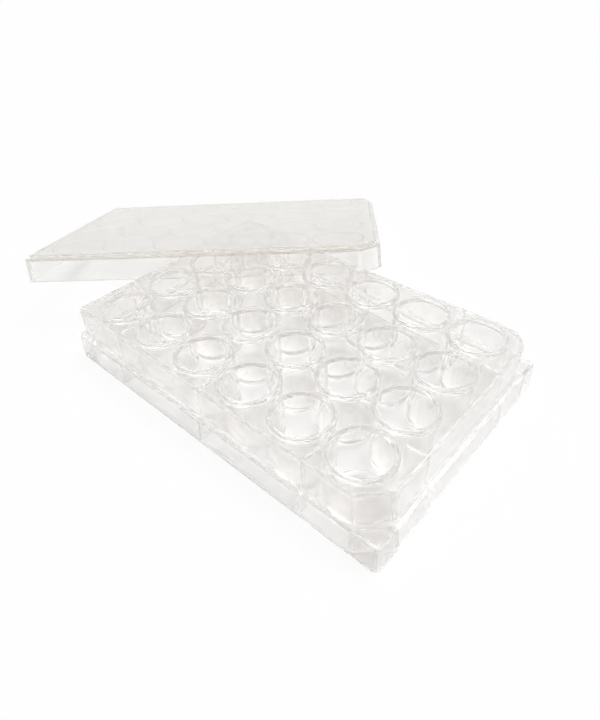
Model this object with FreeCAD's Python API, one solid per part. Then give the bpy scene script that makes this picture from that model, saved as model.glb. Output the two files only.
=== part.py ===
"""Well plate of clear moulded plastic with its lid leaning on one end.

Frame: millimetres, origin at the middle of the plate's foot, +X along the long
side, +Y along the short side, +Z up out of the wells.
"""
import FreeCAD, Part
import math
import os

V = FreeCAD.Vector

# ---- plate: foot, ledge and body -------------------------------------------
foot_length = 127.76          # the foot a plate nest grips
foot_width = 85.48
skirt_draft = 0.60            # lean of the skirt from foot to ledge
ledge_height = 8.76           # top of the skirt, where the lid's wall comes down
ledge_thickness = 1.30
skirt_wall = 1.35
skirt_corner = 2.20
skirt_edge_round = 0.45
body_inset = 2.55             # body wall in from the foot
body_wall = 1.30
body_small_corner = 1.60      # the two nearly sharp corners
body_big_corner = 10.0        # the round corner
body_chamfer = 7.40           # the cut corner, along each side
cut_edge_round = 0.72         # where the cut meets the sides, on plate and lid
least_round = 0.30            # least rounding of an inner corner
deck_height = 19.45
deck_thickness = 1.40
deck_edge_round = 0.80

# ---- plate: wells -----------------------------------------------------------
well_columns = 6
well_rows = 4
well_pitch = 19.30
well_top_radius = 8.10
well_floor_radius = 7.82
well_depth = 17.80
well_floor_thickness = 1.20
well_wall = 0.95
well_floor_round = 0.60
rim_height = 1.00             # rim above the deck
rim_width = 0.80
rim_edge_round = 0.28
rim_foot_round = 0.40
rim_lip_round = 0.20

# ---- plate: webs under the deck ---------------------------------------------
web_thickness = 1.10
web_depth = 6.50              # in from the body's outside face
web_foot_gap = 0.60           # webs stop this far above the foot
web_columns = (-2, 0, 2)      # pitches from the middle, on the long sides
web_rows = (-1, 1)            # and on the short sides
gusset_thickness = 1.20
gusset_reach = 9.00           # corner gusset meets the skirt this far along each side

# ---- lid --------------------------------------------------------------------
lid_side_clearance = 0.90     # lid wall to body wall when the lid is on
lid_wall = 1.20
lid_length = foot_length - 2 * body_inset + 2 * (lid_side_clearance + lid_wall)
lid_width = foot_width - 2 * body_inset + 2 * (lid_side_clearance + lid_wall)
lid_wall_draft = 0.50
lid_cavity_depth = 8.25
lid_panel = 1.00              # thickness over the cavity
lid_step = 1.05               # panel stands up this far from the wall's top, for stacking
lid_step_inset = 1.20
lid_inner_chamfer = 1.00      # inside, where wall and panel meet
lid_chamfer = 7.10
lid_big_corner = 9.0
lid_small_corner = 1.60
lid_edge_round = 0.30
ring_radius = 9.45            # condensation rings under the panel, outer radius
ring_width = 0.70
ring_height = 0.30

# ---- how the lid leans ------------------------------------------------------
rest_gap = 0.06               # left at each place the lid rests
low_corner_x = -140.74        # lid corner that stands beside the plate, on the table
low_corner_y = 23.19
lean_well_column = 5          # the rim the lid's front wall leans on
lean_well_row = 1
lean_bearing = -150.8         # degrees round that rim

# ---- derived ----------------------------------------------------------------
rim_top = deck_height + rim_height
well_floor = rim_top - well_depth
well_bottom = well_floor - well_floor_thickness
deck_underside = deck_height - deck_thickness
lid_top = lid_cavity_depth + lid_panel
lid_wall_height = lid_top - lid_step  # open edge to the top of the wall
same_level = 1e-4             # heights closer than this are one level


def keyed_corners(half_x, half_y, inset, cut, big, small):
    """Corners of a keyed outline moved in by inset, as (x, y, rounding)."""
    x, y = half_x - inset, half_y - inset
    side = cut - inset * (2 - math.sqrt(2))
    edge = max(cut_edge_round - inset, least_round)
    tight = max(small - inset, least_round)
    return [(x, -y + side, edge), (x, y, big - inset), (-x, y, tight),
            (-x, -y, tight), (x - side, -y, edge)]


def rounded_wire(corners, z):
    """Closed wire through the corners, each one rounded by its own radius."""
    starts, middles, ends = [], [], []
    count = len(corners)
    for k, (x, y, radius) in enumerate(corners):
        here = V(x, y, z)
        before = V(corners[k - 1][0], corners[k - 1][1], z) - here
        after = V(corners[(k + 1) % count][0], corners[(k + 1) % count][1], z) - here
        before.normalize()
        after.normalize()
        half_angle = before.getAngle(after) / 2
        back = radius / math.tan(half_angle)
        inward = (before + after).normalize()
        centre = here + inward * (radius / math.sin(half_angle))
        starts.append(here + before * back)
        middles.append(centre - inward * radius)
        ends.append(here + after * back)
    edges = []
    for k in range(count):
        edges.append(Part.Arc(starts[k], middles[k], ends[k]).toShape())
        edges.append(Part.LineSegment(ends[k], starts[(k + 1) % count]).toShape())
    return Part.Wire(edges)


def slab(low_corners, low_z, high_corners, high_z):
    """Solid between two outlines with the same number of corners."""
    wires = [rounded_wire(low_corners, low_z), rounded_wire(high_corners, high_z)]
    return Part.makeLoft(wires, True, True)


def edges_at(solid, z):
    """Edges that lie wholly at one height."""
    return [e for e in solid.Edges
            if max(abs(e.BoundBox.ZMin - z), abs(e.BoundBox.ZMax - z)) < same_level]


def skirt_corners(inset):
    """Outline of the skirt, moved in by inset."""
    x, y = foot_length / 2 - inset, foot_width / 2 - inset
    radius = max(skirt_corner - inset, least_round)
    return [(x, -y, radius), (x, y, radius), (-x, y, radius), (-x, -y, radius)]


def body_corners(inset):
    """Outline of the body, moved in by inset."""
    return keyed_corners(foot_length / 2 - body_inset, foot_width / 2 - body_inset, inset,
                         body_chamfer, body_big_corner, body_small_corner)


def well_centres():
    """Well centres: column 0 is at +X, row 0 at -Y."""
    for column in range(well_columns):
        for row in range(well_rows):
            yield (((well_columns - 1) / 2 - column) * well_pitch,
                   (row - (well_rows - 1) / 2) * well_pitch)


def profile_edges(points):
    """Edges through a list of points; a (middle, end) pair makes an arc."""
    edges = []
    here = points[0]
    for step in points[1:]:
        if isinstance(step, tuple):
            middle, step = step
            edges.append(Part.Arc(here, middle, step).toShape())
        else:
            edges.append(Part.LineSegment(here, step).toShape())
        here = step
    return edges


def round_step(centre_r, centre_z, radius, first, last):
    """Arc step about a centre, by its start and end angles in degrees."""
    middle = math.radians((first + last) / 2)
    end = math.radians(last)
    return (V(centre_r + radius * math.cos(middle), 0, centre_z + radius * math.sin(middle)),
            V(centre_r + radius * math.cos(end), 0, centre_z + radius * math.sin(end)))


def revolve(points):
    wire = Part.Wire(profile_edges(points))
    return Part.Face(wire).revolve(V(0, 0, 0), V(0, 0, 1), 360)


def well_outside():
    """One well's outer form with its raised rim, on the Z axis."""
    low = well_floor_radius + well_wall
    high = well_top_radius + well_wall
    crest = well_top_radius + rim_width
    foot = crest + rim_foot_round
    r, f, e = well_floor_round, rim_foot_round, rim_edge_round
    return revolve([
        V(0, 0, well_bottom), V(low - r, 0, well_bottom),
        round_step(low - r, well_bottom + r, r, -90, 0),
        V(high, 0, deck_underside), V(foot, 0, deck_height),
        round_step(foot, deck_height + f, f, -90, -180),
        V(crest, 0, rim_top - e),
        round_step(crest - e, rim_top - e, e, 0, 90),
        V(0, 0, rim_top), V(0, 0, well_bottom)])


def well_inside():
    """The hollow of one well, flared a little at the lip."""
    r, lip = well_floor_round, rim_lip_round
    above = rim_top + rim_height
    return revolve([
        V(0, 0, well_floor), V(well_floor_radius - r, 0, well_floor),
        round_step(well_floor_radius - r, well_floor + r, r, -90, 0),
        V(well_top_radius, 0, rim_top - lip),
        round_step(well_top_radius + lip, rim_top - lip, lip, 180, 90),
        V(well_top_radius + lip, 0, above), V(0, 0, above), V(0, 0, well_floor)])


def plate_envelope():
    """The plate's outside without wells: skirt, ledge and body."""
    skirt = slab(skirt_corners(0), 0, skirt_corners(skirt_draft), ledge_height)
    skirt = skirt.makeFillet(skirt_edge_round, edges_at(skirt, ledge_height))
    body = slab(body_corners(0), 0, body_corners(0), deck_height)
    body = body.makeFillet(deck_edge_round, edges_at(body, deck_height))
    return skirt.fuse(body).removeSplitter()


def plate_hollow():
    """The room under the deck and under the ledge."""
    under_ledge = ledge_height - ledge_thickness
    low = slab(skirt_corners(skirt_wall), 0,
               skirt_corners(skirt_wall + skirt_draft), under_ledge)
    high = slab(body_corners(body_wall), 0, body_corners(body_wall), deck_underside)
    return low.fuse(high).removeSplitter()


def web(centre, length_x, length_y):
    """A web from just above the foot up into the deck."""
    height = deck_height - deck_thickness / 2 - web_foot_gap
    box = Part.makeBox(length_x, length_y, height)
    box.translate(V(centre[0] - length_x / 2, centre[1] - length_y / 2, web_foot_gap))
    return box


def webs(envelope):
    """Webs from the walls in between the outer wells, and the corner gussets."""
    half_x, half_y = foot_length / 2, foot_width / 2
    reach = body_inset + web_depth
    pieces = []
    for side in (-1, 1):
        for step in web_columns:
            pieces.append(web((step * well_pitch, side * (half_y - reach / 2)),
                              web_thickness, reach))
        for step in web_rows:
            pieces.append(web((side * (half_x - reach / 2), step * well_pitch),
                              reach, web_thickness))
    span = 2 * gusset_reach
    height = ledge_height - ledge_thickness / 2 - web_foot_gap
    for sx in (-1, 1):
        for sy in (-1, 1):
            gusset = Part.makeBox(span, gusset_thickness, height)
            gusset.translate(V(-span / 2, -gusset_thickness / 2, web_foot_gap))
            gusset.rotate(V(0, 0, 0), V(0, 0, 1), -45 * sx * sy)
            gusset.translate(V(sx * (half_x - gusset_reach / 2),
                               sy * (half_y - gusset_reach / 2), 0))
            pieces.append(gusset)
    return [piece.common(envelope) for piece in pieces]


def make_plate():
    envelope = plate_envelope()
    shell = envelope.cut(plate_hollow())
    outside, inside = well_outside(), well_inside()
    outs, ins = [], []
    for x, y in well_centres():
        for source, group in ((outside, outs), (inside, ins)):
            copy = source.copy()
            copy.translate(V(x, y, 0))
            group.append(copy)
    plate = shell.multiFuse(webs(envelope) + outs)
    plate = plate.cut(Part.makeCompound(ins)).removeSplitter()
    return plate.Solids[0] if len(plate.Solids) == 1 else plate


def lid_corners(inset):
    """Outline of the lid's outside, moved in by inset."""
    return keyed_corners(lid_length / 2, lid_width / 2, inset,
                         lid_chamfer, lid_big_corner, lid_small_corner)


def lid_ring():
    """One condensation ring, hanging from the panel."""
    height = ring_height + lid_panel / 2
    ring = Part.makeCylinder(ring_radius, height)
    ring = ring.cut(Part.makeCylinder(ring_radius - ring_width, height))
    ring.translate(V(0, 0, lid_cavity_depth - ring_height))
    return ring


def make_lid():
    """The lid in its own frame: open edge at z = 0, panel above."""
    box = slab(lid_corners(0), 0, lid_corners(lid_wall_draft), lid_wall_height)
    box = box.makeFillet(lid_edge_round, edges_at(box, lid_wall_height))
    step_inset = lid_wall_draft + lid_step_inset
    panel = slab(lid_corners(step_inset), lid_wall_height - lid_step,
                 lid_corners(step_inset), lid_top)
    panel = panel.makeFillet(lid_edge_round, edges_at(panel, lid_top))
    knee = lid_cavity_depth - lid_inner_chamfer
    knee_inset = lid_wall + lid_wall_draft * knee / lid_wall_height
    hollow = slab(lid_corners(lid_wall), 0, lid_corners(knee_inset), knee)
    crown = slab(lid_corners(knee_inset), knee,
                 lid_corners(knee_inset + lid_inner_chamfer), lid_cavity_depth)
    lid = box.fuse(panel).cut(hollow.fuse(crown))
    rings = []
    for x, y in well_centres():
        ring = lid_ring()
        ring.translate(V(x, y, 0))
        rings.append(ring)
    lid = lid.multiFuse(rings).removeSplitter()
    return lid.Solids[0] if len(lid.Solids) == 1 else lid


def leaning_placement():
    """Where the lid lies: one corner on the table, its front wall on a rim and
    its panel on the deck's corner. Three touching points fix all of it.
    """
    column_x = ((well_columns - 1) / 2 - lean_well_column) * well_pitch
    row_y = (lean_well_row - (well_rows - 1) / 2) * well_pitch
    crest = well_top_radius + rim_width - rim_edge_round
    bearing = math.radians(lean_bearing)
    low = V(low_corner_x, low_corner_y, 0)
    on_rim = V(column_x + crest * math.cos(bearing), row_y + crest * math.sin(bearing),
               rim_top + rest_gap)
    on_deck = V(-foot_length / 2 + body_inset, foot_width / 2 - body_inset, deck_height)
    depth = lid_cavity_depth - rest_gap
    half_x, half_y = lid_length / 2, lid_width / 2
    chord = on_rim - low
    along = V(chord).normalize()
    reach = on_deck - low
    across = reach - along * reach.dot(along)
    first = V(across).normalize()
    second = along.cross(first)
    rise = depth / across.Length
    normal = first * rise + second * math.sqrt(1 - rise * rise)
    if normal.z < 0:
        normal = first * rise - second * math.sqrt(1 - rise * rise)
    step_y = -(2 * half_y - lid_wall)
    step_x = math.sqrt(chord.Length ** 2 - step_y ** 2)
    sideways = normal.cross(along)
    axis_x = (along * step_x - sideways * step_y) * (1 / chord.Length)
    axis_y = (along * step_y + sideways * step_x) * (1 / chord.Length)
    origin = low + axis_x * half_x - axis_y * half_y
    return FreeCAD.Placement(FreeCAD.Matrix(
        axis_x.x, axis_y.x, normal.x, origin.x,
        axis_x.y, axis_y.y, normal.y, origin.y,
        axis_x.z, axis_y.z, normal.z, origin.z, 0, 0, 0, 1))


def main():
    os.makedirs("parts", exist_ok=True)
    make_plate().exportStep("parts/plate.step")
    lid = make_lid()
    lid.Placement = leaning_placement()
    lid.exportStep("parts/lid.step")


main()
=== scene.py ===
"""Clear moulded well plate with its lid leaning on one end, set on a pale table."""
import math

import bmesh
import bpy
from mathutils import Matrix, Quaternion, Vector


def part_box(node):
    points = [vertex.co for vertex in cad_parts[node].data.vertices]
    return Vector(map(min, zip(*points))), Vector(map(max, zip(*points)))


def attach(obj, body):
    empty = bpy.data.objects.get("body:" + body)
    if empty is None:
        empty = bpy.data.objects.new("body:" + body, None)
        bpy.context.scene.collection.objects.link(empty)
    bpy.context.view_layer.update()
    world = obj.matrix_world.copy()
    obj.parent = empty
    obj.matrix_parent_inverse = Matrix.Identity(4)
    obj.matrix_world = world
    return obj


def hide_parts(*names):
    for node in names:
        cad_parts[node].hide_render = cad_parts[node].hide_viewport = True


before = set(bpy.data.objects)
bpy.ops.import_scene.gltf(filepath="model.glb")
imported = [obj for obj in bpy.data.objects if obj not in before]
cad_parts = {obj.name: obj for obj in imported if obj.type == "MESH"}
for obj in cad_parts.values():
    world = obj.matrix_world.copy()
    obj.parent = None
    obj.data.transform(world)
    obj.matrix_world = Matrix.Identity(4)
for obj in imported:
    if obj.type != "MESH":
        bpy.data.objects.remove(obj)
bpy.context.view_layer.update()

bl_info = {
    "name": "Well Plate",
    "version": (1, 0, 0),
    "blender": (4, 5, 0),
    "location": "View3D > Sidebar > Well Plate",
    "description": "Builds a clear well plate, its lid and a plain studio table",
    "category": "Add Mesh",
}

ROOT = "root"
PLATE_NODE = "plate"
LID_NODE = "lid"

MM = 0.001
SAME_LEVEL = 1e-6           # points this close in height lie at one level
TOUCHING = 1e-6             # points this close are one point
NO_LENGTH = 1e-7            # edges this short are taken away

# Steps of the rounded shapes
CORNER_STEPS = 6            # round an upright corner, at least
CORNER_STEPS_PER_MM = 2     # and this many for each millimetre of its radius
EDGE_STEPS = 5              # round an edge of the plate
THIN_EDGE_STEPS = 3         # round an edge of the lid
WELL_STEPS = 96             # round a well
RIM_STEPS = 4               # round a well's rounded edges
RING_STEPS = 72             # round a condensation ring
RING_EDGE_STEPS = 3         # round a ring's edges

SHARP_TURN = math.radians(30.0)     # edges that turn more than this stay sharp
SINK = 0.1 * MM                     # a web ends this far past the middle of the skirt's wall
BEYOND_FOOT = 1.05                  # a rim's line starts this far out, in foot roundings
RING_SOFTNESS = 0.95                # rounding of a ring's edges, in ring heights
LOOKS_UP = 0.7                      # how level the lid's panel is at least, as it leans
STANDS_UP = 0.2                     # how level the lid's wall is at most
WEB_STEPS = (-2, 0, 2)              # webs along a long side, in pitches from its middle
END_WEB_STEPS = (-1, 1)             # webs along a short side


# ---- sizes and finishes that a user would change ----------------------------

def length_setting(name, millimetres, description):
    return bpy.props.FloatProperty(name=name, default=millimetres * MM, min=0.0, precision=5,
                                   subtype="DISTANCE", unit="LENGTH", description=description)


def share_setting(name, value, description):
    return bpy.props.FloatProperty(name=name, default=value, min=0.0, max=1.0,
                                   subtype="FACTOR", description=description)


def colour_setting(name, value, description):
    return bpy.props.FloatVectorProperty(name=name, default=value, size=3, min=0.0, max=1.0,
                                         subtype="COLOR", description=description)


def number_setting(name, value, description, low=0.0):
    return bpy.props.FloatProperty(name=name, default=value, min=low, description=description)


def angle_setting(name, degrees, description):
    return bpy.props.FloatProperty(name=name, default=math.radians(degrees), subtype="ANGLE",
                                   unit="ROTATION", description=description)


def place_setting(name, metres, description):
    return bpy.props.FloatVectorProperty(name=name, default=metres, size=3, precision=5,
                                         subtype="TRANSLATION", unit="LENGTH",
                                         description=description)


def count_setting(name, value, description):
    return bpy.props.IntProperty(name=name, default=value, min=1, description=description)


class WellPlatePlateSizes(bpy.types.PropertyGroup):
    """Sizes of the plate."""
    skirt_draft: length_setting("Skirt draft", 0.60, "Lean of the skirt from foot to ledge")
    ledge_height: length_setting("Ledge height", 8.76, "Top of the skirt")
    ledge_thickness: length_setting("Ledge thickness", 1.30, "Thickness of the ledge")
    skirt_wall: length_setting("Skirt wall", 1.35, "Thickness of the skirt")
    skirt_corner: length_setting("Skirt corner", 2.20, "Rounding of the foot's corners")
    skirt_edge: length_setting("Skirt edge", 0.45, "Rounding along the top of the skirt")
    body_inset: length_setting("Body inset", 2.55, "Body wall in from the foot")
    body_wall: length_setting("Body wall", 1.30, "Thickness of the body wall")
    body_small_corner: length_setting("Small corner", 1.60, "Rounding of the sharp corners")
    body_big_corner: length_setting("Big corner", 10.0, "Rounding of the one round corner")
    body_chamfer: length_setting("Cut corner", 7.40, "Cut along each side at the keyed corner")
    cut_edge: length_setting("Cut's edges", 0.90, "Rounding where the cut meets the sides")
    least_round: length_setting("Least rounding", 0.40, "Least rounding of an inner corner")
    deck_height: length_setting("Deck height", 19.45, "Top of the deck")
    deck_thickness: length_setting("Deck thickness", 1.40, "Thickness of the deck")
    deck_edge: length_setting("Deck edge", 0.80, "Rounding along the deck's edge")
    columns: count_setting("Columns", 6, "Wells along the long side")
    rows: count_setting("Rows", 4, "Wells along the short side")
    pitch: length_setting("Well pitch", 19.30, "From one well's centre to the next")
    well_top_radius: length_setting("Well radius at the top", 8.10, "Inside radius at the rim")
    well_floor_radius: length_setting("Well radius at the floor", 7.82, "Inside, at the floor")
    well_depth: length_setting("Well depth", 17.80, "Rim to floor")
    well_floor: length_setting("Floor thickness", 1.20, "Thickness of a well's floor")
    well_wall: length_setting("Well wall", 0.95, "Thickness of a well's wall")
    well_round: length_setting("Floor round", 0.60, "Rounding where wall and floor meet")
    rim_height: length_setting("Rim height", 1.00, "Rim above the deck")
    rim_width: length_setting("Rim width", 0.80, "Width of the rim's crest")
    rim_edge: length_setting("Rim edge", 0.28, "Rounding outside the crest")
    rim_foot: length_setting("Rim foot", 0.40, "Rounding where the rim meets the deck")
    rim_lip: length_setting("Rim lip", 0.20, "Rounding inside the crest")
    web_thickness: length_setting("Web thickness", 1.10, "Thickness of the webs under the deck")
    web_depth: length_setting("Web depth", 6.50, "Webs in from the body's outside")
    web_gap: length_setting("Web gap", 0.60, "Webs above the foot")
    gusset_thickness: length_setting("Gusset thickness", 1.20, "Thickness of the gussets")
    gusset_reach: length_setting("Gusset reach", 9.00, "Where a gusset meets the skirt")


class WellPlateLidSizes(bpy.types.PropertyGroup):
    """Sizes of the lid."""
    wall: length_setting("Wall", 1.20, "Thickness of the lid's wall")
    wall_height: length_setting("Wall height", 8.20, "Open edge to the top of the wall")
    draft: length_setting("Wall draft", 0.50, "Lean of the wall")
    step: length_setting("Panel step", 1.05, "Panel above the top of the wall")
    step_inset: length_setting("Panel inset", 1.20, "Panel in from the top of the wall")
    cavity: length_setting("Cavity depth", 8.25, "Open edge to the panel's underside")
    inner_chamfer: length_setting("Inner chamfer", 1.00, "Inside, where wall and panel meet")
    chamfer: length_setting("Cut corner", 7.10, "Cut along each side at the keyed corner")
    big_corner: length_setting("Big corner", 9.0, "Rounding of the one round corner")
    small_corner: length_setting("Small corner", 1.60, "Rounding of the nearly sharp corners")
    panel_corner: length_setting("Panel corner", 1.20, "Rounding of the panel's sharp corners")
    inner_corner: length_setting("Inner corner", 1.60, "Rounding of the inside's sharp corners")
    edge: length_setting("Edge", 0.30, "Rounding of the outside edges")
    ring_radius: length_setting("Ring radius", 9.45, "Outside radius of a condensation ring")
    ring_width: length_setting("Ring width", 0.70, "Width of a condensation ring")
    ring_height: length_setting("Ring height", 0.30, "How far a ring stands down")


class WellPlateFinish(bpy.types.PropertyGroup):
    """The clear plastic."""
    refraction: number_setting("Refraction", 1.58, "Index of refraction", low=1.0)
    plate_colour: colour_setting("Plate plastic", (0.990, 0.988, 0.983), "The plate's colour")
    lid_colour: colour_setting("Lid plastic", (0.982, 0.977, 0.966), "The lid's colour")
    # Painted shade: the next colour darkens the plastic round the keyed corner, and a little on
    # the outside walls, standing in for the plate's shadow on the table beneath.
    corner_shade_colour: colour_setting("Plate's gate", (0.925, 0.915, 0.905), "At the keyed corner")
    lid_edge_colour: colour_setting("Lid's edges", (0.80, 0.75, 0.68), "Along the lid's edges")
    blush_colour: colour_setting("Blush", (0.978, 0.964, 0.961), "Faint patches in the plastic")
    # These four place and spread that painted shade: its centre, where it is full, where it
    # ends, and its share on the outside walls. It is not the colour of a mould's gate.
    corner_shade_place: place_setting("Gate", (0.063, -0.042, 0.007), "Where the mould was filled")
    corner_shade_core: length_setting("Gate core", 6.0, "The gate's colour is full this far out")
    corner_shade_reach: length_setting("Gate reach", 21.0, "The gate's colour ends this far out")
    wall_shade_share: share_setting("Wall share", 0.4, "Gate's colour on the outside walls")
    polish: share_setting("Roughness", 0.015, "Roughness of the polished faces")
    clearness: share_setting("Clearness", 1.0, "How much light passes and isn't scattered")
    haze: share_setting("Haze", 0.02, "Extra roughness where the plastic is scuffed")
    wear: share_setting("Outside wear", 0.17, "Extra roughness on the outside faces")
    middle_wear: share_setting("Middle wear", 0.2, "Share of that wear between the wells")
    edge_wear: share_setting("Edge wear", 0.04, "Extra roughness on the rounded edges")
    ripple: share_setting("Ripple", 0.03, "Strength of the moulding ripple")


class WellPlateStage(bpy.types.PropertyGroup):
    """Table, light and camera."""
    floor_colour: colour_setting("Table", (0.96, 0.96, 0.96), "Colour of the table")
    mottle_colour: colour_setting("Mottle", (0.86, 0.86, 0.86), "Faint patches in the table")
    # Painted shade: the table far out, darker only in gloss and through the plastic, for the
    # dimmer light far from the lamp.
    far_shade_colour: colour_setting("Far table", (0.72, 0.72, 0.71), "Table far from the plate")
    floor_radius: length_setting("Table radius", 5000.0, "Radius of the table")
    pale_radius: length_setting("White radius", 1250.0, "The table is white this far out")
    white_share: share_setting("White share", 0.90, "How much of the table is plain white")
    glass_share: share_setting("White in glass", 0.2, "The same, as seen through the plastic")
    room_light: number_setting("Room light", 0.40, "Soft light from the room")
    lamp_light: number_setting("Lamp light", 5.6, "Light from the lamp overhead")
    lamp_glare: number_setting("Lamp glare", 3.0, "The lamp as it is seen in gloss")
    lamp_softness: angle_setting("Lamp softness", 20.0, "Half the lamp's width, as an angle")
    lamp_azimuth: angle_setting("Lamp azimuth", 165.0, "Where the lamp stands, round the plate")
    lamp_elevation: angle_setting("Lamp elevation", 68.0, "How high the lamp stands")
    target: place_setting("Camera target", (0.01448, -0.01317, 0.020), "The point looked at")
    azimuth: number_setting("Camera azimuth", 43.02, "Degrees round the plate", low=-360.0)
    elevation: number_setting("Camera elevation", 40.56, "Degrees above the table")
    roll: number_setting("Camera roll", -2.33, "Degrees about the line of sight", low=-90.0)
    distance: length_setting("Camera distance", 152.73, "From the point looked at")
    lens: number_setting("Focal length", 26.5, "Lens focal length in millimetres")


# ---- node graphs ------------------------------------------------------------

class Value:
    """A number from a node; arithmetic on it adds Math nodes to the same graph."""

    def __init__(self, graph, socket):
        self.graph = graph
        self.socket = socket

    def math(self, operation, *values):
        node = self.graph.node("ShaderNodeMath", {"operation": operation},
                               dict(enumerate(values)))
        return Value(self.graph, node.outputs[0])

    def __add__(self, other):
        return self.math("ADD", self, other)

    def __sub__(self, other):
        return self.math("SUBTRACT", self, other)

    def __mul__(self, other):
        return self.math("MULTIPLY", self, other)

    def __radd__(self, other):
        return self.math("ADD", other, self)

    def __rsub__(self, other):
        return self.math("SUBTRACT", other, self)

    def __rmul__(self, other):
        return self.math("MULTIPLY", other, self)

    def __neg__(self):
        return self.math("MULTIPLY", self, -1.0)

    def at_most(self, other):
        return self.math("MINIMUM", self, other)

    def either(self, other):
        """The greater of two numbers, and for masks, on where either is on."""
        return self.math("MAXIMUM", self, other)

    def ramp(self, low, high):
        """0 below low, 1 above high, smooth between."""
        node = self.graph.node("ShaderNodeMapRange", {"interpolation_type": "SMOOTHSTEP"},
                               {"Value": self, "From Min": low, "From Max": high})
        return Value(self.graph, node.outputs["Result"])


class Graph:
    """A node tree with one way in for every node that isn't arithmetic."""

    def __init__(self, tree):
        self.tree = tree
        tree.nodes.clear()

    def node(self, kind, settings=None, inputs=None):
        made = self.tree.nodes.new(kind)
        for key, value in (settings or {}).items():
            if key == "stops":
                self.set_stops(made.color_ramp, value)
            else:
                setattr(made, key, value)
        for key, value in (inputs or {}).items():
            target = made.inputs[key]
            if isinstance(value, Value):
                self.tree.links.new(value.socket, target)
            elif isinstance(value, bpy.types.NodeSocket):
                self.tree.links.new(value, target)
            elif target.type == "RGBA" and len(value) == 3:
                target.default_value = (*value, 1.0)
            else:
                target.default_value = value
        return made

    @staticmethod
    def set_stops(ramp, stops):
        while len(ramp.elements) < len(stops):
            ramp.elements.new(1.0)
        for element, (place, colour) in zip(ramp.elements, stops):
            element.position = place
            element.color = (*colour, 1.0)

    def value(self, node, output):
        return Value(self, node.outputs[output])

    def axes(self, vector):
        """The X, Y and Z of a vector."""
        node = self.node("ShaderNodeSeparateXYZ", {}, {"Vector": vector})
        return [self.value(node, axis) for axis in "XYZ"]

    def measure(self, operation, first, second):
        """A number from two vectors, such as their distance."""
        node = self.node("ShaderNodeVectorMath", {"operation": operation},
                         {0: first, 1: second})
        return self.value(node, "Value")

    def noise(self, place, scale, detail):
        node = self.node("ShaderNodeTexNoise", {"noise_dimensions": "3D"},
                         {"Vector": place, "Scale": scale, "Detail": detail})
        return self.value(node, "Fac")

    def colour_mix(self, factor, first, second):
        node = self.node("ShaderNodeMix", {"data_type": "RGBA"},
                         {"Factor": factor, 6: first, 7: second})
        return node.outputs[2]

    def place(self, stretch=(1.0, 1.0, 1.0)):
        """Object coordinates, stretched for one pattern."""
        coordinates = self.node("ShaderNodeTexCoord")
        mapping = self.node("ShaderNodeMapping", {"vector_type": "POINT"},
                            {"Vector": coordinates.outputs["Object"], "Scale": stretch})
        return mapping.outputs["Vector"]


def material_graph(name):
    material = bpy.data.materials.new(name)
    material.use_nodes = True
    return material, Graph(material.node_tree)


# ---- bmesh helpers ----------------------------------------------------------

def corner_angle(point):
    """The angle inside a corner that has two edges."""
    first, second = [edge.other_vert(point).co - point.co for edge in point.link_edges]
    return first.angle(second)


def round_corner(bm, point, radius, segments):
    """An arc of this radius in place of a point where two edges meet."""
    bmesh.ops.bevel(bm, geom=[point], offset=radius / math.tan(corner_angle(point) / 2),
                    offset_type="OFFSET", segments=segments, profile=0.5, affect="VERTICES",
                    clamp_overlap=False, material=-1)


def outline(bm, corners, height):
    """A level face through the corners, each one rounded by its own radius."""
    known = set(bm.faces)
    points = [bm.verts.new((x, y, height)) for x, y, _ in corners]
    bm.faces.new(points)
    for point, (_, _, radius) in zip(points, corners):
        steps = max(CORNER_STEPS, round(radius / MM * CORNER_STEPS_PER_MM))
        round_corner(bm, point, radius, steps)
    face = next(f for f in bm.faces if f not in known)
    face.normal_update()
    if face.normal.z < 0:
        face.normal_flip()
    return face


def raise_face(bm, face, steps):
    """Walls made by insetting a face again and again: (inwards, along its normal)."""
    for inwards, along in steps:
        bmesh.ops.inset_individual(bm, faces=[face], thickness=inwards, depth=along,
                                   use_even_offset=True)
    return face


def edge_steps(radius, count):
    """Steps round an outside edge, from an upright wall to a level top."""
    turns = [math.pi / 2 * k / count for k in range(count + 1)]
    places = [(radius * (1 - math.cos(a)), radius * math.sin(a)) for a in turns]
    return [(b[0] - a[0], b[1] - a[1]) for a, b in zip(places, places[1:])]


def open_face(bm, face):
    """Takes a face away and leaves its edges."""
    bmesh.ops.delete(bm, geom=[face], context="FACES_ONLY")


def is_level(item, height):
    return all(abs(v.co.z - height) < SAME_LEVEL for v in item.verts)


def open_level(bm, height):
    """Takes away every face that lies at one height."""
    level = [f for f in bm.faces if is_level(f, height)]
    bmesh.ops.delete(bm, geom=level, context="FACES")


def fill_level(bm, height):
    """Fills the level region between the open loops at one height."""
    rims = [e for e in bm.edges if len(e.link_faces) == 1 and is_level(e, height)]
    bmesh.ops.triangle_fill(bm, use_beauty=True, use_dissolve=False, edges=rims,
                            normal=(0, 0, 1))


def take_mesh(bm, name):
    """The finished mesh of bm, which ends with it."""
    mesh = bpy.data.meshes.new(name)
    bm.to_mesh(mesh)
    bm.free()
    return mesh


def spun(points, count=WELL_STEPS, segments=RIM_STEPS):
    """A surface of revolution about Z through (radius, height, rounding) points."""
    bm = bmesh.new()
    line = [bm.verts.new((radius, 0, height)) for radius, height, _ in points]
    for first, second in zip(line, line[1:]):
        bm.edges.new((first, second))
    for point, (_, _, rounding) in zip(line, points):
        if rounding > 0:
            round_corner(bm, point, rounding, segments)
    bmesh.ops.spin(bm, geom=bm.verts[:] + bm.edges[:], cent=(0, 0, 0), axis=(0, 0, 1),
                   dvec=(0, 0, 0), angle=math.tau, steps=count, use_merge=True,
                   use_duplicate=False)
    bmesh.ops.remove_doubles(bm, verts=bm.verts[:], dist=NO_LENGTH)
    return take_mesh(bm, "spun")


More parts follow.
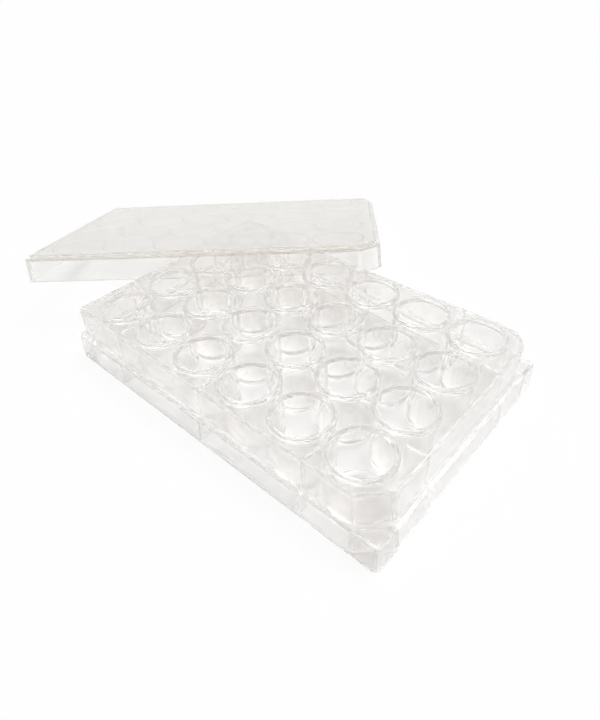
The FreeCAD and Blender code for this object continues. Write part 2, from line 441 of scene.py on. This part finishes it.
def add_copies(bm, mesh, centres):
    """Copies of a mesh, one at each centre."""
    for x, y in centres:
        known = set(bm.verts)
        bm.from_mesh(mesh)
        fresh = [v for v in bm.verts if v not in known]
        bmesh.ops.translate(bm, verts=fresh, vec=(x, y, 0))
    bpy.data.meshes.remove(mesh)


def add_prism(bm, points, along, place=Matrix()):
    """A closed prism from the points of one end."""
    face = bm.faces.new([bm.verts.new(point) for point in points])
    made = bmesh.ops.extrude_face_region(bm, geom=[face])["geom"]
    far = [v for v in made if isinstance(v, bmesh.types.BMVert)]
    bmesh.ops.translate(bm, verts=far, vec=along)
    bmesh.ops.transform(bm, matrix=place, verts=far + list(face.verts))


def close_up(bm):
    """Joins what touches and points every face outwards."""
    bmesh.ops.remove_doubles(bm, verts=bm.verts[:], dist=TOUCHING)
    bmesh.ops.dissolve_degenerate(bm, dist=NO_LENGTH, edges=bm.edges[:])
    bmesh.ops.recalc_face_normals(bm, faces=bm.faces[:])


def joined(bm, blocks):
    """Both closed shells as one."""
    objects = [bpy.data.objects.new("joining", take_mesh(part, "joining"))
               for part in (bm, blocks)]
    for obj in objects:
        bpy.context.scene.collection.objects.link(obj)
    union = objects[0].modifiers.new("union", "BOOLEAN")
    union.operation = "UNION"
    union.solver = "EXACT"
    union.object = objects[1]
    bpy.context.view_layer.update()
    shaped = objects[0].evaluated_get(bpy.context.evaluated_depsgraph_get())
    result = bmesh.new()
    result.from_mesh(shaped.to_mesh())
    shaped.to_mesh_clear()
    for obj in objects:
        bpy.data.meshes.remove(obj.data)
    return result


def shade(bm):
    """Smooth faces, with the edges that turn sharply left sharp."""
    for face in bm.faces:
        face.smooth = True
    for edge in bm.edges:
        edge.smooth = edge.calc_face_angle(math.pi) < SHARP_TURN


def show(bm, name, material, node):
    """Turns bm into a shown piece that stands for a CAD node."""
    shade(bm)
    piece = bpy.data.objects.new(name, take_mesh(bm, name))
    bpy.context.scene.collection.objects.link(piece)
    piece.data.materials.append(material)
    even = piece.modifiers.new("even_shading", "WEIGHTED_NORMAL")
    even.keep_sharp = True
    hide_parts(node)
    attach(piece, ROOT)


# ---- outlines shared by plate and lid ---------------------------------------

def keyed_corners(half_x, half_y, inset, cut, big, small, cut_edge):
    """An outline with one cut corner, one round one and two nearly sharp."""
    x, y = half_x - inset, half_y - inset
    side = cut - inset * (2 - math.sqrt(2))
    return [(x, -y + side, cut_edge), (x, y, big - inset), (-x, y, small),
            (-x, -y, small), (x - side, -y, cut_edge)]


def grid_centres(sizes):
    """Well centres: the first column is at +X, the first row at -Y."""
    for column in range(sizes.columns):
        for row in range(sizes.rows):
            yield (((sizes.columns - 1) / 2 - column) * sizes.pitch,
                   (row - (sizes.rows - 1) / 2) * sizes.pitch)


# ---- plate ------------------------------------------------------------------

def foot_half():
    """Half the plate's length and half its width, at the foot."""
    low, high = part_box(PLATE_NODE)
    return (high.x - low.x) / 2, (high.y - low.y) / 2


def skirt_corners(sizes, inset):
    x, y = (half - inset for half in foot_half())
    radius = sizes.skirt_corner - inset
    return [(x, -y, radius), (x, y, radius), (-x, y, radius), (-x, -y, radius)]


def body_corners(sizes, inset):
    x, y = (half - sizes.body_inset for half in foot_half())
    return keyed_corners(x, y, inset, sizes.body_chamfer, sizes.body_big_corner,
                         max(sizes.body_small_corner - inset, sizes.least_round),
                         max(sizes.cut_edge - inset, sizes.least_round))


def under_ledge(sizes):
    return sizes.ledge_height - sizes.ledge_thickness


def under_deck(sizes):
    return sizes.deck_height - sizes.deck_thickness


def plate_shell(sizes):
    """Skirt, ledge, body and deck with their thickness, closed and without wells."""
    bm = bmesh.new()
    ledge, deck = sizes.ledge_height, sizes.deck_height
    face = outline(bm, skirt_corners(sizes, 0.0), 0.0)
    raise_face(bm, face, [(sizes.skirt_draft, ledge - sizes.skirt_edge)])
    open_face(bm, raise_face(bm, face, edge_steps(sizes.skirt_edge, EDGE_STEPS)))
    face = outline(bm, body_corners(sizes, 0.0), ledge)
    raise_face(bm, face, [(0.0, deck - sizes.deck_edge - ledge)])
    raise_face(bm, face, edge_steps(sizes.deck_edge, EDGE_STEPS))
    fill_level(bm, ledge)
    face = outline(bm, skirt_corners(sizes, sizes.skirt_wall), 0.0)
    open_face(bm, raise_face(bm, face, [(sizes.skirt_draft, under_ledge(sizes))]))
    face = outline(bm, body_corners(sizes, sizes.body_wall), under_ledge(sizes))
    raise_face(bm, face, [(0.0, under_deck(sizes) - under_ledge(sizes))])
    fill_level(bm, under_ledge(sizes))
    fill_level(bm, 0.0)
    close_up(bm)
    return bm


def web_blocks(sizes):
    """Upright webs between the outer wells, and a gusset across each corner."""
    bm = bmesh.new()
    halves = foot_half()
    foot = sizes.web_gap
    shoulder = sizes.ledge_height - sizes.ledge_thickness / 2
    top = sizes.deck_height - sizes.deck_thickness / 2
    into_skirt = sizes.skirt_draft + sizes.skirt_wall / 2 - SINK
    into_body = sizes.body_inset + sizes.body_wall / 2
    reach = sizes.body_inset + sizes.web_depth
    for half, steps, quarter in ((halves[1], WEB_STEPS, 1), (halves[0], END_WEB_STEPS, 0)):
        for side in (0, 2):
            turn = Matrix.Rotation(math.pi / 2 * (quarter + side), 4, "Z")
            for step in steps:
                off = step * sizes.pitch - sizes.web_thickness / 2
                add_prism(bm, [(half - reach, off, foot), (half - into_skirt, off, foot),
                               (half - into_skirt, off, shoulder),
                               (half - into_body, off, shoulder),
                               (half - into_body, off, top), (half - reach, off, top)],
                          (0, sizes.web_thickness, 0), turn)
    wide = sizes.gusset_thickness / math.sqrt(2)
    x, y = (half - into_skirt for half in halves)
    near_x, near_y = (half - sizes.gusset_reach for half in halves)
    gusset = [(near_x - wide, y), (near_x + wide, y), (x, near_y + wide), (x, near_y - wide)]
    for flip_x in (-1, 1):
        for flip_y in (-1, 1):
            add_prism(bm, [(flip_x * px, flip_y * py, foot) for px, py in gusset],
                      (0, 0, shoulder - foot))
    bmesh.ops.recalc_face_normals(bm, faces=bm.faces[:])
    return bm


def well_inside(sizes):
    """A rim, the hollow of its well and the floor."""
    deck = sizes.deck_height
    rim = deck + sizes.rim_height
    floor = rim - sizes.well_depth
    crest = sizes.well_top_radius + sizes.rim_width
    start = crest + sizes.rim_foot * BEYOND_FOOT
    return spun([(start, deck, 0.0), (crest, deck, sizes.rim_foot),
                 (crest, rim, sizes.rim_edge), (sizes.well_top_radius, rim, sizes.rim_lip),
                 (sizes.well_floor_radius, floor, sizes.well_round), (0.0, floor, 0.0)])


def well_outside(sizes):
    """A well as it hangs under the deck."""
    bottom = sizes.deck_height + sizes.rim_height - sizes.well_depth - sizes.well_floor
    return spun([(sizes.well_top_radius + sizes.well_wall, under_deck(sizes), 0.0),
                 (sizes.well_floor_radius + sizes.well_wall, bottom, sizes.well_round),
                 (0.0, bottom, 0.0)])


def plate_mesh(sizes):
    """The shell and its webs, with a well let in at every centre."""
    bm = joined(plate_shell(sizes), web_blocks(sizes))
    for height, well in ((sizes.deck_height, well_inside(sizes)),
                         (under_deck(sizes), well_outside(sizes))):
        open_level(bm, height)
        add_copies(bm, well, grid_centres(sizes))
        fill_level(bm, height)
    close_up(bm)
    return bm


# ---- lid --------------------------------------------------------------------

def lid_place():
    """The lid's axes, the middle of its open edge and its half sizes, from the frame."""
    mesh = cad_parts[LID_NODE].data
    panel = max(mesh.polygons, key=lambda f: f.area * (f.normal.z > LOOKS_UP))
    up = panel.normal.copy()
    wall = max(mesh.polygons, key=lambda f: f.area * (abs(f.normal.dot(up)) < STANDS_UP))
    across = (wall.normal - up * wall.normal.dot(up)).normalized()
    along = across.cross(up)
    points = [v.co for v in mesh.vertices]
    spans = []
    for axis in (along, across, up):
        reach = [p.dot(axis) for p in points]
        spans.append((min(reach), max(reach)))
    middle = (along * sum(spans[0]) + across * sum(spans[1])) / 2 + up * spans[2][0]
    corner = along - across
    if (max((p - middle).dot(corner) for p in points)
            > max((middle - p).dot(corner) for p in points)):
        along, across = -along, -across
    turn = Matrix((along, across, up)).transposed().to_4x4()
    halves = [(span[1] - span[0]) / 2 for span in spans[:2]]
    return Matrix.Translation(middle) @ turn, halves


def lid_mesh(sizes, wells):
    """The lid, with a ring under its panel for every well, laid where it leans."""
    place, halves = lid_place()
    ceiling = sizes.cavity
    top = sizes.wall_height + sizes.step
    bm = bmesh.new()

    def corners(inset, small):
        return keyed_corners(*halves, inset, sizes.chamfer, sizes.big_corner, small, small)

    face = outline(bm, corners(0.0, sizes.small_corner), 0.0)
    raise_face(bm, face, [(sizes.draft, sizes.wall_height - sizes.edge)])
    open_face(bm, raise_face(bm, face, edge_steps(sizes.edge, THIN_EDGE_STEPS)))
    face = outline(bm, corners(sizes.draft + sizes.step_inset, sizes.panel_corner),
                   sizes.wall_height)
    fill_level(bm, sizes.wall_height)
    raise_face(bm, face, [(0.0, top - sizes.edge - sizes.wall_height)])
    raise_face(bm, face, edge_steps(sizes.edge, THIN_EDGE_STEPS))
    knee = ceiling - sizes.inner_chamfer
    face = outline(bm, corners(sizes.wall, sizes.inner_corner), 0.0)
    raise_face(bm, face, [(sizes.draft * knee / sizes.wall_height, knee),
                          (sizes.inner_chamfer, sizes.inner_chamfer)])
    open_face(bm, face)
    crest = ceiling - sizes.ring_height
    inner = sizes.ring_radius - sizes.ring_width
    soft = sizes.ring_height * RING_SOFTNESS
    ring = spun([(sizes.ring_radius, ceiling, 0.0), (sizes.ring_radius, crest, soft),
                 (inner, crest, soft), (inner, ceiling, 0.0), (0.0, ceiling, 0.0)],
                count=RING_STEPS, segments=RING_EDGE_STEPS)
    add_copies(bm, ring, grid_centres(wells))
    fill_level(bm, ceiling)
    fill_level(bm, 0.0)
    close_up(bm)
    bmesh.ops.transform(bm, matrix=place, verts=bm.verts[:])
    return bm


# ---- materials --------------------------------------------------------------

# How level a face is, from 0 for upright to 1: where a mask begins and where it is full
LEAVES_UPRIGHT = (0.12, 0.30)
IS_SLOPED = (0.2, 0.6)
NEARS_LEVEL = (0.93, 0.99)
IS_LEVEL = (0.97, 0.995)

PLATE_UP = (0.0, 0.0, 1.0)
WALL_BLEND = 0.4 * MM                   # half the width over which the walls' mask comes on
DECK_RISE = (-2.0 * MM, -1.0 * MM)      # the deck's mask comes on here, from its underside
DECK_MARGIN = (22.0 * MM, 31.0 * MM)    # the margin's comes on across the outer wells

# Patterns: scale of the noise in waves per metre, and the part of it that shows
PLATE_GRAIN = (220.0, 220.0, 40.0)
LID_GRAIN = (60.0, 60.0, 60.0)
SCUFF_SCALE, SCUFF_PART = 900.0, (0.58, 0.80)
TONE_SCALE, TONE_PART, TONE_POWER = 35.0, (0.35, 0.75), 1.6
BLUSH_SCALE, BLUSH_PART, BLUSH_SHARE = 70.0, (0.50, 0.72), 0.5
WAVE_SCALE, WAVE_SHARE, FLOW_SHARE = 60.0, 0.4, 0.6
RIPPLE_HEIGHT = 0.25 * MM
MOTTLE_SCALE, MOTTLE_PART, MOTTLE_SHARE = 3.0, (0.2, 0.8), 0.04
TABLE_ROUGHNESS = (0.75, 0.1)           # the least, and how much the mottle adds

WHITE = (1.0, 1.0, 1.0)
PALE_FADE = 1.3                         # the table's painted shade is full from here, in white radii


def levelness(graph, up):
    """From 0 on upright faces to 1 on level ones, with up as the piece's own up."""
    normal = graph.node("ShaderNodeNewGeometry").outputs["Normal"]
    facing = graph.measure("DOT_PRODUCT", normal, up)
    return facing.either(-facing)


def rounded_edges(level):
    """On along the rounded edges, off on level and upright faces."""
    return level.ramp(*LEAVES_UPRIGHT) * (1.0 - level.ramp(*NEARS_LEVEL))


def outwards(graph, sizes):
    """How far a place lies towards the plate's sides, the same along each of them and
    along the cut corner."""
    x, y, _ = graph.axes(graph.place())
    half_x, half_y = foot_half()
    cut = half_x - sizes.body_inset - sizes.body_chamfer
    return (x.either(-x) - (half_x - half_y)).either(y.either(-y)).either(x - y - cut)


def outside_walls(outward, sizes):
    """On over the plate's outside walls, off in its wells."""
    wells_end = ((sizes.rows - 1) / 2 * sizes.pitch + sizes.well_top_radius
                 + sizes.well_wall)
    return outward.ramp(wells_end - WALL_BLEND, wells_end + WALL_BLEND)


def plate_plastic(sizes, finish):
    """The plate: painted shade, deeper in colour, round the keyed corner and a little on its
    outside walls, for its shadow on the table; worn on those walls and on the deck's margin."""
    material, graph = material_graph("clear_plate")
    level = levelness(graph, PLATE_UP)
    outward = outwards(graph, sizes)
    walls = outside_walls(outward, sizes)
    # Painted shade: full near the keyed corner and fading out, and weaker on the upright
    # outside walls.
    from_shaded_corner = graph.measure("DISTANCE", graph.place(), tuple(finish.corner_shade_place))
    painted_corner_shade = 1.0 - from_shaded_corner.ramp(finish.corner_shade_core, finish.corner_shade_reach)
    shaded_upright_walls = walls * (1.0 - level.ramp(*IS_SLOPED))
    height = graph.axes(graph.place())[2]
    deck = height.ramp(*(under_deck(sizes) + rise for rise in DECK_RISE))
    margin = outward.ramp(*DECK_MARGIN) * (1.0 - finish.middle_wear) + finish.middle_wear
    clear_plastic(graph, finish, PLATE_GRAIN, finish.plate_colour, finish.corner_shade_colour,
                  deeper=painted_corner_shade.either(shaded_upright_walls * finish.wall_shade_share),
                  worn=(level.ramp(*IS_LEVEL) * deck * margin).either(walls),
                  edges=rounded_edges(level))
    return material


def lid_plastic(finish):
    """The lid: deeper in colour along its rounded edges, and worn on its level faces."""
    material, graph = material_graph("clear_lid")
    place, _ = lid_place()
    level = levelness(graph, tuple(place.col[2].xyz))
    edges = rounded_edges(level)
    clear_plastic(graph, finish, LID_GRAIN, finish.lid_colour, finish.lid_edge_colour,
                  deeper=edges, worn=level.ramp(*IS_LEVEL), edges=edges)
    return material


def clear_plastic(graph, finish, grain, plain, deep, deeper, worn, edges):
    """Clear polystyrene, a little wavy from the mould: deep in colour where deeper is on and
    plain elsewhere, and rougher where worn and edges are on. On the plate the deep colour is
    painted shade."""
    scuffs = graph.noise(graph.place(), SCUFF_SCALE, detail=4.0).ramp(*SCUFF_PART)
    flow = graph.noise(graph.place(stretch=grain), 1.0, detail=2.0)
    waves = graph.noise(graph.place(), WAVE_SCALE, detail=1.0)
    tone = graph.noise(graph.place(), TONE_SCALE, detail=2.0).ramp(*TONE_PART)
    blush = graph.noise(graph.place(), BLUSH_SCALE, detail=1.0).ramp(*BLUSH_PART)
    tint = graph.colour_mix(tone, tuple(plain), tuple(c ** TONE_POWER for c in plain))
    tint = graph.colour_mix(blush * BLUSH_SHARE, tint, tuple(finish.blush_colour))
    # On the plate this mixes in painted shade; on the lid, the colour along its edges.
    tint = graph.colour_mix(deeper, tint, tuple(deep))
    bump = graph.node("ShaderNodeBump", {}, {
        "Strength": finish.ripple, "Distance": RIPPLE_HEIGHT,
        "Height": flow * FLOW_SHARE + waves * WAVE_SHARE})
    plastic = graph.node("ShaderNodeBsdfPrincipled", {}, {
        "Base Color": tint,
        "Roughness": (finish.polish + scuffs * finish.haze + worn * finish.wear
                      + edges * finish.edge_wear),
        "IOR": finish.refraction, "Transmission Weight": finish.clearness,
        "Normal": bump.outputs["Normal"]})
    graph.node("ShaderNodeOutputMaterial", {}, {"Surface": plastic.outputs[0]})


def straight_rays(graph):
    """On where the table or the room is seen with nothing in front of it."""
    return graph.value(graph.node("ShaderNodeLightPath"), "Is Camera Ray")


def glass_rays(graph):
    """On where they are seen in plastic or gloss, off for the light that a table gathers."""
    path = graph.node("ShaderNodeLightPath")
    gloss = graph.value(path, "Is Glossy Ray")
    through = graph.value(path, "Is Transmission Ray")
    gathered = graph.value(path, "Diffuse Depth").at_most(1.0)
    return gloss.either(through) * (1.0 - gathered)


def table_top(stage):
    """A pale matt table that shows as white, and keeps the plate's soft shadow."""
    material, graph = material_graph("pale_table")
    mottle = graph.noise(graph.place(), MOTTLE_SCALE, detail=2.0)
    stone = graph.colour_mix(mottle * MOTTLE_SHARE, tuple(stage.floor_colour),
                             tuple(stage.mottle_colour))
    least, added = TABLE_ROUGHNESS
    matt = graph.node("ShaderNodeBsdfPrincipled", {}, {
        "Base Color": stone, "Roughness": mottle.ramp(*MOTTLE_PART) * added + least})
    # Painted shade: past the white radius, what gloss and the plastic see of the table darkens
    # to the far colour.
    from_middle = graph.measure("DISTANCE", graph.place(), (0.0, 0.0, 0.0))
    far_shade = from_middle.ramp(stage.pale_radius, stage.pale_radius * PALE_FADE)
    straight, glass = straight_rays(graph), glass_rays(graph)
    paper = graph.node("ShaderNodeEmission", {}, {
        "Color": graph.colour_mix(far_shade * glass, WHITE, tuple(stage.far_shade_colour)),
        "Strength": 1.0})
    mixed = graph.node("ShaderNodeMixShader", {}, {
        0: straight * stage.white_share + glass * stage.glass_share,
        1: matt.outputs[0], 2: paper.outputs[0]})
    graph.node("ShaderNodeOutputMaterial", {}, {"Surface": mixed.outputs[0]})
    return material


# ---- stage ------------------------------------------------------------------

FLOOR_SIDES = 128
FLOOR_DROP = 0.02 * MM      # the table's top lies this far under the foot
LAMP_BLEND = 0.02           # softness of the lamp's edge, as a cosine
ROOM = [                    # the pale room's colours, from 0 straight down to 1 overhead
    (0.499, (0.45, 0.44, 0.43)), (0.502, (0.80, 0.785, 0.77)), (0.560, (0.78, 0.765, 0.75)),
    (0.700, (0.66, 0.65, 0.64)), (0.840, (0.62, 0.61, 0.60)), (0.930, (0.70, 0.69, 0.68))]
SENSOR_WIDTH = 36.0
CLIP_START = 0.005
CLEAR_BOUNCES = 96          # light passes through many walls of the wells
OPEN_BOUNCES = 64


def make_floor(stage):
    bm = bmesh.new()
    bmesh.ops.create_circle(bm, cap_ends=True, segments=FLOOR_SIDES,
                            radius=stage.floor_radius,
                            matrix=Matrix.Translation((0, 0, -FLOOR_DROP)))
    floor = bpy.data.objects.new("table", take_mesh(bm, "table"))
    bpy.context.scene.collection.objects.link(floor)
    floor.data.materials.append(table_top(stage))


def direction_to(azimuth, elevation):
    """Which way a thing lies, with azimuth 0 at -Y and a quarter turn at +X."""
    return Vector((math.sin(azimuth) * math.cos(elevation),
                   -math.cos(azimuth) * math.cos(elevation), math.sin(elevation)))


def make_world(stage):
    """A wide lamp over the table. In the gloss it is dimmer, and stands in a pale room;
    straight on, the world is white."""
    world = bpy.data.worlds.new("pale_room")
    world.use_nodes = True
    graph = Graph(world.node_tree)
    direction = graph.node("ShaderNodeTexCoord").outputs["Generated"]
    height = graph.axes(direction)[2]
    room = graph.node("ShaderNodeValToRGB", {"stops": ROOM}, {"Fac": height * 0.5 + 0.5})
    lamp = direction_to(stage.lamp_azimuth, stage.lamp_elevation)
    toward = graph.measure("DOT_PRODUCT", direction, tuple(lamp))
    edge = math.cos(stage.lamp_softness)
    lamp_disc = toward.ramp(edge - LAMP_BLEND, edge + LAMP_BLEND)
    lit = graph.colour_mix(lamp_disc, [stage.room_light] * 3, [stage.lamp_light] * 3)
    seen = graph.colour_mix(lamp_disc, room.outputs["Color"], [stage.lamp_glare] * 3)
    dimmed = graph.colour_mix(glass_rays(graph), lit, seen)
    shown = graph.colour_mix(straight_rays(graph), dimmed, WHITE)
    backdrop = graph.node("ShaderNodeBackground", {}, {"Color": shown, "Strength": 1.0})
    graph.node("ShaderNodeOutputWorld", {}, {"Surface": backdrop.outputs[0]})
    bpy.context.scene.world = world


def make_camera(stage):
    back = direction_to(math.radians(stage.azimuth), math.radians(stage.elevation))
    data = bpy.data.cameras.new("camera")
    data.lens = stage.lens
    data.sensor_width = SENSOR_WIDTH
    data.clip_start = CLIP_START
    camera = bpy.data.objects.new("camera", data)
    camera.location = Vector(stage.target) + back * stage.distance
    turn = (-back).to_track_quat("-Z", "Y") @ Quaternion((0, 0, 1), math.radians(stage.roll))
    camera.rotation_mode = "QUATERNION"
    camera.rotation_quaternion = turn
    bpy.context.scene.collection.objects.link(camera)
    bpy.context.scene.camera = camera


# ---- operators --------------------------------------------------------------

class WELLPLATE_OT_plate(bpy.types.Operator):
    """Build the clear plate with its wells"""
    bl_idname = "wellplate.plate"
    bl_label = "Build the plate"

    def execute(self, context):
        sizes, finish = context.scene.well_plate, context.scene.well_plate_finish
        show(plate_mesh(sizes), "clear_plate", plate_plastic(sizes, finish), PLATE_NODE)
        return {"FINISHED"}


class WELLPLATE_OT_lid(bpy.types.Operator):
    """Build the clear lid where it leans"""
    bl_idname = "wellplate.lid"
    bl_label = "Build the lid"

    def execute(self, context):
        scene = context.scene
        show(lid_mesh(scene.well_plate_lid, scene.well_plate), "clear_lid",
             lid_plastic(scene.well_plate_finish), LID_NODE)
        return {"FINISHED"}


class WELLPLATE_OT_stage(bpy.types.Operator):
    """Set the table, the soft light and the camera"""
    bl_idname = "wellplate.stage"
    bl_label = "Set the stage"

    def execute(self, context):
        stage = context.scene.well_plate_stage
        make_floor(stage)
        make_world(stage)
        make_camera(stage)
        light = context.scene.cycles
        light.max_bounces = CLEAR_BOUNCES
        light.transmission_bounces = CLEAR_BOUNCES
        light.glossy_bounces = CLEAR_BOUNCES
        light.transparent_max_bounces = OPEN_BOUNCES
        light.caustics_reflective = True
        light.caustics_refractive = True
        light.blur_glossy = 0.0
        return {"FINISHED"}


class WELLPLATE_PT_panel(bpy.types.Panel):
    """Builds the plate, the lid and the stage"""
    bl_label = "Well Plate"
    bl_space_type = "VIEW_3D"
    bl_region_type = "UI"
    bl_category = "Well Plate"

    def draw(self, context):
        for operator in OPERATORS:
            self.layout.operator(operator.bl_idname)


OPERATORS = (WELLPLATE_OT_plate, WELLPLATE_OT_lid, WELLPLATE_OT_stage)
SETTINGS = (("well_plate", WellPlatePlateSizes), ("well_plate_lid", WellPlateLidSizes),
            ("well_plate_finish", WellPlateFinish), ("well_plate_stage", WellPlateStage))


def register():
    for name, group in SETTINGS:
        bpy.utils.register_class(group)
        setattr(bpy.types.Scene, name, bpy.props.PointerProperty(type=group))
    for kind in OPERATORS + (WELLPLATE_PT_panel,):
        bpy.utils.register_class(kind)


def unregister():
    for kind in reversed(OPERATORS + (WELLPLATE_PT_panel,)):
        bpy.utils.unregister_class(kind)
    for name, group in reversed(SETTINGS):
        delattr(bpy.types.Scene, name)
        bpy.utils.unregister_class(group)


def main():
    register()
    bpy.context.scene.view_settings.view_transform = "Standard"
    bpy.ops.wellplate.plate()
    bpy.ops.wellplate.lid()
    bpy.ops.wellplate.stage()


if __name__ == "__main__":
    main()
